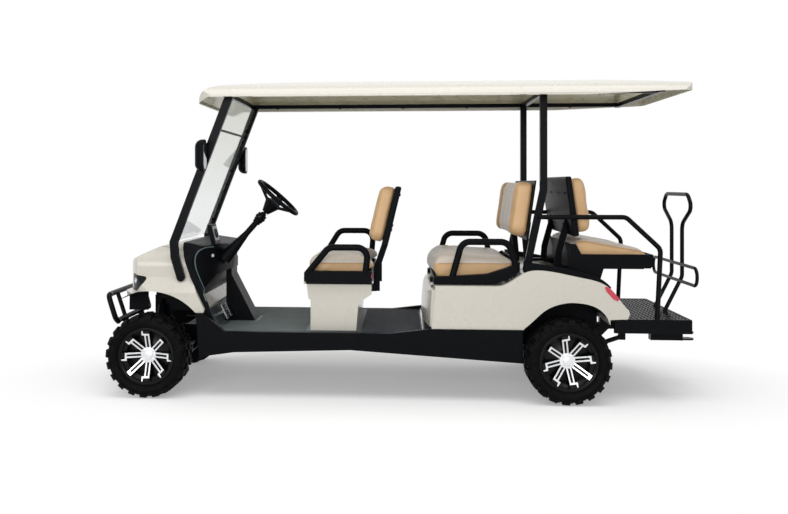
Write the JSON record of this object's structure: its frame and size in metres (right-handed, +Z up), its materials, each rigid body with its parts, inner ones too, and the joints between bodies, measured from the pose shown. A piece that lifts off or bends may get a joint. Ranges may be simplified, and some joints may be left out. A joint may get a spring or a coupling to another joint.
{
  "type": "golf cart",
  "caption": "Long lifted electric golf cart with roof, clear windscreen, forward bench seats and a rear-facing bench over a foot deck.",
  "frame": {"origin": "on the ground under the middle of the overall length and width", "axes": "+X rearwards, +Y to the cart's right, +Z up"},
  "size_m": [4.173, 1.35, 2.17],
  "materials": {
    "black_steel": "satin black powder coat",
    "ivory_body": "gloss pearl ivory on moulded panels",
    "black_plastic": "grained satin",
    "floor_rubber": "ribbed mat",
    "clear_sheet": "clear",
    "lamp_lens": "clear lens",
    "red_lens": "clear red",
    "seat_cover": "two-tone cream and tan vinyl",
    "tyre_rubber": "all-terrain tread",
    "rim_alloy": "gloss black with machined spokes",
    "bare_steel": "plain",
    "battery_case": "plain"
  },
  "bodies": {
    "chassis": {"battery": "battery_case", "dashboard": "black_plastic", "deck": "black_steel", "floor_pan": "floor_rubber", "frame_rails": "black_steel", "front_back_shell": "black_plastic", "front_bumper": "black_steel", "front_cowl": "ivory_body", "front_posts": "black_steel", "front_seat_back": "seat_cover", "front_seat_base": "ivory_body", "front_suspension": "black_steel", "grab_bar": "black_steel", "headlamps": "lamp_lens", "hitch": "black_steel", "middle_back_shell": "black_plastic", "middle_seat_back": "seat_cover", "mirrors": "black_plastic", "pedals": "bare_steel", "rear_axle": "black_steel", "rear_back_shell": "black_plastic", "rear_body": "ivory_body", "rear_posts": "black_steel", "rear_seat_back": "seat_cover", "rear_seat_cushion": "seat_cover", "rear_seat_frame": "black_steel", "rear_seat_tray": "black_plastic", "rear_springs": "black_steel", "rear_trim": "black_plastic", "roof": "ivory_body", "roof_frame": "black_steel", "side_rails": "black_steel", "sills": "black_plastic", "steering_column": "black_plastic", "tail_lamps": "red_lens", "windshield": "clear_sheet"},
    "front_bench": {"front_seat_tray": "black_plastic", "front_seat_cushion": "seat_cover"},
    "middle_bench": {"middle_seat_tray": "black_plastic", "middle_seat_cushion": "seat_cover"},
    "hand_wheel": {"steering_wheel": "black_plastic"},
    "rack": {"steering_rack": "bare_steel"},
    "steer_left": {"knuckle_left": "bare_steel"},
    "steer_right": {"knuckle_right": "bare_steel"},
    "wheel_front_left": {"tyre_front_left": "tyre_rubber", "rim_front_left": "rim_alloy"},
    "wheel_front_right": {"tyre_front_right": "tyre_rubber", "rim_front_right": "rim_alloy"},
    "wheel_rear_left": {"tyre_rear_left": "tyre_rubber", "rim_rear_left": "rim_alloy"},
    "wheel_rear_right": {"tyre_rear_right": "tyre_rubber", "rim_rear_right": "rim_alloy"}
  },
  "joints": [
    {"name": "hand_wheel_turn", "type": "hinge", "parent": "chassis", "child": "hand_wheel", "pos_m": [-0.885, -0.262, 1.344], "axis": [0.6626, 0, 0.749], "range_deg": [-390, 390]},
    {"name": "steer_left_turn", "type": "hinge", "parent": "chassis", "child": "steer_left", "pos_m": [-1.725, -0.418, 0.2795], "axis": [0, 0, 1], "range_deg": [-26, 26]},
    {"name": "steer_right_turn", "type": "hinge", "parent": "chassis", "child": "steer_right", "pos_m": [-1.725, 0.418, 0.2795], "axis": [0, 0, 1], "range_deg": [-26, 26]},
    {"name": "rack_slide", "type": "slide", "parent": "chassis", "child": "rack", "axis": [0, 1, 0], "range_m": [-0.0505, 0.0505]},
    {"name": "front_bench_lift", "type": "hinge", "parent": "chassis", "child": "front_bench", "pos_m": [-0.681, 0, 0.752], "axis": [0, -1, 0], "range_deg": [0, 55]},
    {"name": "middle_bench_lift", "type": "hinge", "parent": "chassis", "child": "middle_bench", "pos_m": [0.195, 0, 0.754], "axis": [0, -1, 0], "range_deg": [0, 60]},
    {"name": "wheel_front_left_spin", "type": "hinge", "parent": "steer_left", "child": "wheel_front_left", "pos_m": [-1.725, -0.557, 0.2795], "axis": [0, 1, 0], "continuous": true},
    {"name": "wheel_front_right_spin", "type": "hinge", "parent": "steer_right", "child": "wheel_front_right", "pos_m": [-1.725, 0.557, 0.2795], "axis": [0, 1, 0], "continuous": true},
    {"name": "wheel_rear_left_spin", "type": "hinge", "parent": "chassis", "child": "wheel_rear_left", "pos_m": [1.075, -0.557, 0.2795], "axis": [0, 1, 0], "continuous": true},
    {"name": "wheel_rear_right_spin", "type": "hinge", "parent": "chassis", "child": "wheel_rear_right", "pos_m": [1.075, 0.557, 0.2795], "axis": [0, 1, 0], "continuous": true}
  ],
  "couplings": [
    {"joint": "steer_left_turn", "follows": "hand_wheel_turn", "ratio": 0.066667},
    {"joint": "steer_right_turn", "follows": "hand_wheel_turn", "ratio": 0.066667},
    {"joint": "rack_slide", "follows": "hand_wheel_turn", "m_per_rad": 0.007346}
  ]
}
